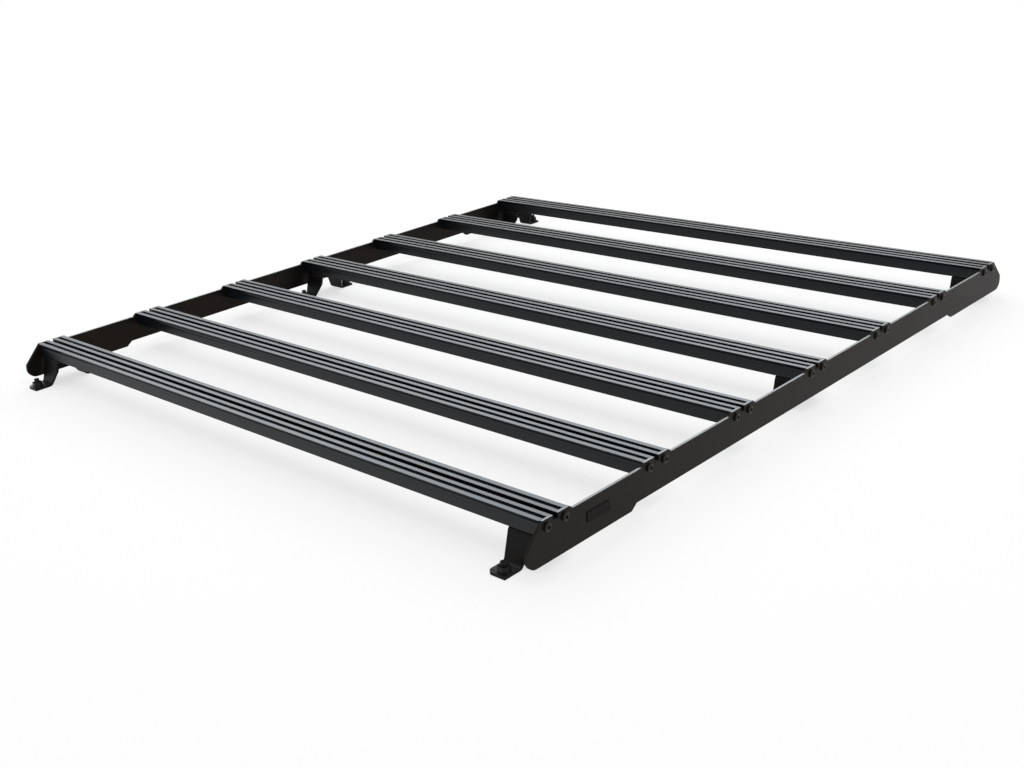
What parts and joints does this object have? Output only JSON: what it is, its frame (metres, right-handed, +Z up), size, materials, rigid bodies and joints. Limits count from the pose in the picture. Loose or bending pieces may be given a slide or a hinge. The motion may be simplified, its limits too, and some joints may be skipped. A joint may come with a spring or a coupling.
{
  "type": "truck bed rack",
  "caption": "Flat rack for a truck bed: slotted aluminium slats between two low profiled side plates, on bent sheet feet that clamp to the bed rails",
  "frame": {"origin": "centre of the rack across and along the bed, at the height of the undersides of the foot tabs", "axes": "+X across the bed towards the right-hand side plate, +Y along the bed to the rear slat, +Z up"},
  "size_m": [1.4338, 1.5838, 0.0824],
  "materials": {
    "slat_coat": "satin black powder coat on extruded aluminium",
    "plate_coat": "satin black powder coat on cut aluminium plate",
    "foot_coat": "satin black powder coat on bent steel sheet",
    "black_bolt": "black zinc plated steel",
    "black_screw": "black zinc plated steel"
  },
  "bodies": {
    "root": {"slat_1": "slat_coat", "slat_2": "slat_coat", "slat_3": "slat_coat", "slat_4": "slat_coat", "slat_5": "slat_coat", "slat_6": "slat_coat", "slat_7": "slat_coat", "left_side_plate": "plate_coat", "right_side_plate": "plate_coat", "left_side_screws": "black_screw", "right_side_screws": "black_screw", "front_left_foot": "foot_coat", "front_right_foot": "foot_coat", "middle_left_foot": "foot_coat", "middle_right_foot": "foot_coat", "rear_left_foot": "foot_coat", "rear_right_foot": "foot_coat", "front_left_clamp_bolts": "black_bolt", "front_right_clamp_bolts": "black_bolt", "middle_left_clamp_bolts": "black_bolt", "middle_right_clamp_bolts": "black_bolt", "rear_left_clamp_bolts": "black_bolt", "rear_right_clamp_bolts": "black_bolt", "front_left_clamp_nuts": "black_bolt", "front_right_clamp_nuts": "black_bolt", "middle_left_clamp_nuts": "black_bolt", "middle_right_clamp_nuts": "black_bolt", "rear_left_clamp_nuts": "black_bolt", "rear_right_clamp_nuts": "black_bolt", "front_left_slot_bolts": "black_bolt", "front_right_slot_bolts": "black_bolt", "middle_left_slot_bolts": "black_bolt", "middle_right_slot_bolts": "black_bolt", "rear_left_slot_bolts": "black_bolt", "rear_right_slot_bolts": "black_bolt"}
  },
  "joints": []
}
